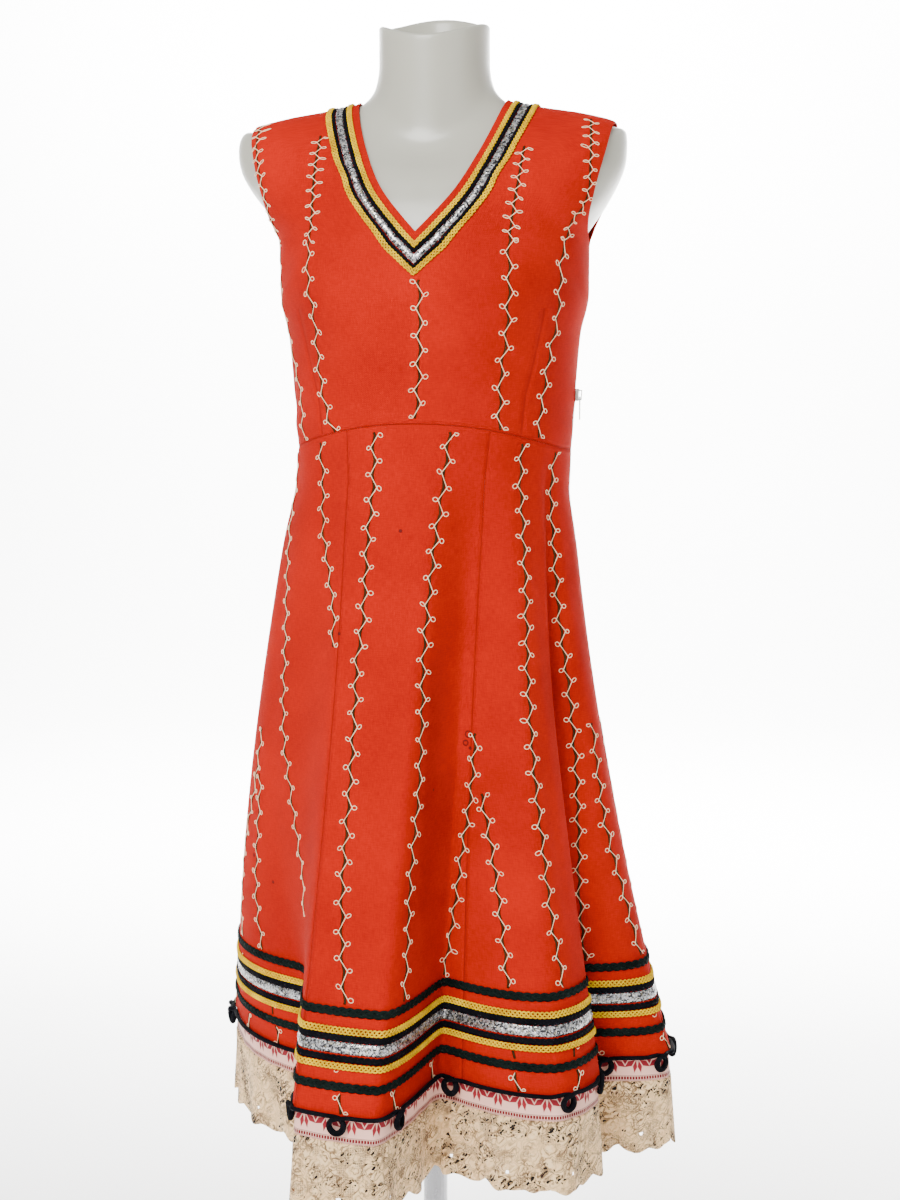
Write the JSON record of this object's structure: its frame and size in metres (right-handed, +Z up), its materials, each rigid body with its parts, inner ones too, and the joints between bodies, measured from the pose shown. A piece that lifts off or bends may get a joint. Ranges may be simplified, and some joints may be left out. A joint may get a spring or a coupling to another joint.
{
  "type": "sukman dress on a limbless dress form with a stand",
  "caption": "Sleeveless V-neck wool dress with flared skirt, braid bands, ribbon and lace flounce, on a headless, armless dress form with a pole and round base.",
  "frame": {"origin": "centre of the underside of the round base, on the floor", "axes": "+Z up along the pole, -Y towards the front of the dress, +X towards the wearer's left side, where the zip is"},
  "size_m": [0.4736, 0.4907, 1.4415],
  "materials": {
    "red_wool": "matt wool twill",
    "yellow_braid": "plaited cotton braid",
    "black_braid": "plaited cotton braid",
    "silver_braid": "braid of metallic thread",
    "green_braid": "wavy braid, dark green",
    "black_cord": "round braided cord",
    "woven_ribbon": "woven patterned ribbon",
    "ecru_lace": "cotton lace",
    "zip_tape": "woven tape",
    "zip_metal": "dull nickel-plated",
    "form_plastic": "smooth gloss",
    "stand_metal": "satin"
  },
  "bodies": {
    "dress_on_form": {"form_torso": "form_plastic", "stand_base": "stand_metal", "stand_pole": "stand_metal", "bodice_front": "red_wool", "bodice_back": "red_wool", "skirt_left_side": "red_wool", "skirt_front": "red_wool", "skirt_right_side": "red_wool", "skirt_back_right": "red_wool", "skirt_back": "red_wool", "skirt_back_left": "red_wool", "neck_braid_yellow_inner": "yellow_braid", "neck_braid_black_inner": "black_braid", "neck_braid_silver": "silver_braid", "neck_braid_black_outer": "black_braid", "neck_braid_yellow_outer": "yellow_braid", "hem_braid_green_lower": "green_braid", "hem_braid_yellow_lower": "yellow_braid", "hem_braid_black_lower": "black_braid", "hem_braid_silver": "silver_braid", "hem_braid_black_upper": "black_braid", "hem_braid_yellow_upper": "yellow_braid", "hem_braid_green_upper": "green_braid", "hem_cord_loops": "black_cord", "ribbon_front": "woven_ribbon", "ribbon_back": "woven_ribbon", "lace_front": "ecru_lace", "lace_back": "ecru_lace", "zip_tape": "zip_tape", "zip_chain": "zip_metal", "zip_slider": "zip_metal"},
    "zip_pull_tab": {"zip_pull": "zip_metal"}
  },
  "joints": [
    {"name": "zip_pull_swing", "type": "hinge", "parent": "dress_on_form", "child": "zip_pull_tab", "pos_m": [0.14449, 0, 1.06878], "axis": [0, -1, 0], "range_deg": [0, 150]}
  ]
}
